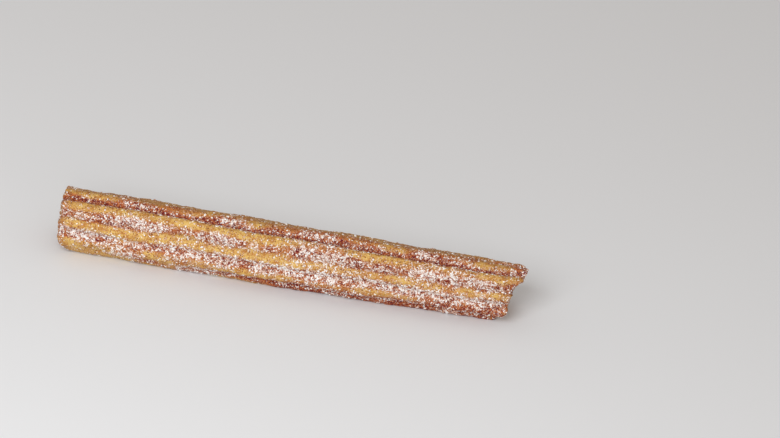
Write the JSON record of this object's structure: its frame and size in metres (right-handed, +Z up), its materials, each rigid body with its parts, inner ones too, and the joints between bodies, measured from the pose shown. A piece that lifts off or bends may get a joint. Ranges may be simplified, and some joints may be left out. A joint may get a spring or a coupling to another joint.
{
  "type": "churro",
  "caption": "Straight star-ridged stick of fried dough rolled in cinnamon sugar, lying flat, with rough cut ends.",
  "frame": {"origin": "middle of the bounding box's base, on the surface that the churro lies on", "axes": "+X along the stick towards the end with the long tip, +Z up, and the shown front faces -Y"},
  "size_m": [0.2532, 0.0358, 0.0328],
  "materials": {
    "fried_dough": "matte",
    "sugar": "satin",
    "cinnamon": "matte"
  },
  "bodies": {
    "root": {"churro_stick": "fried_dough"}
  },
  "joints": []
}
